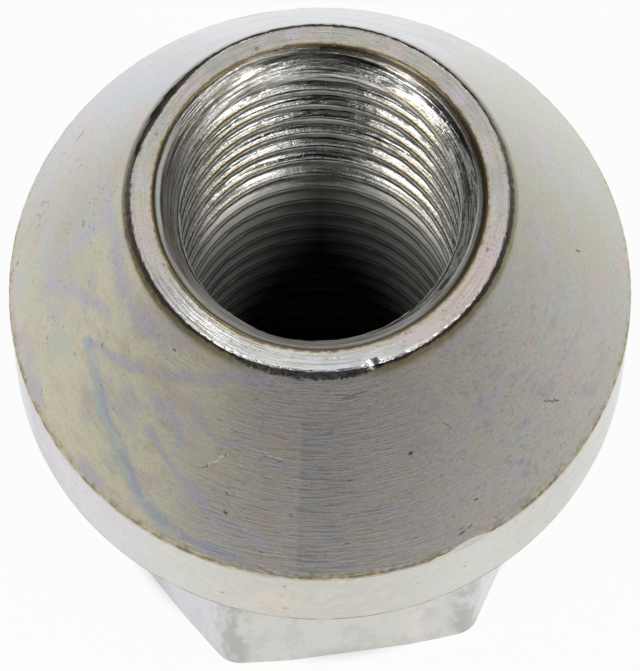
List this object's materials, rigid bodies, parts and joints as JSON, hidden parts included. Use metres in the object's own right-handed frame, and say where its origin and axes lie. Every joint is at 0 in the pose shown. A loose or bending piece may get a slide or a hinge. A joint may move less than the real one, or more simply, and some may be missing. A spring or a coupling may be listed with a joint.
{
  "type": "lug nut",
  "caption": "Tall hex wheel nut with a round collar, a conical seat and a through-tapped bore, which clamps a road wheel onto its hub stud.",
  "frame": {"origin": "centre of the hex end face, on the thread axis", "axes": "+Z along the thread axis from the hex end to the conical seat, +X through a corner of the hex"},
  "size_m": [0.0286, 0.0286, 0.0317],
  "materials": {
    "plated_steel": "turned steel with a clear, faintly iridescent zinc plating"
  },
  "bodies": {
    "root": {"lug_nut": "plated_steel"}
  },
  "joints": []
}
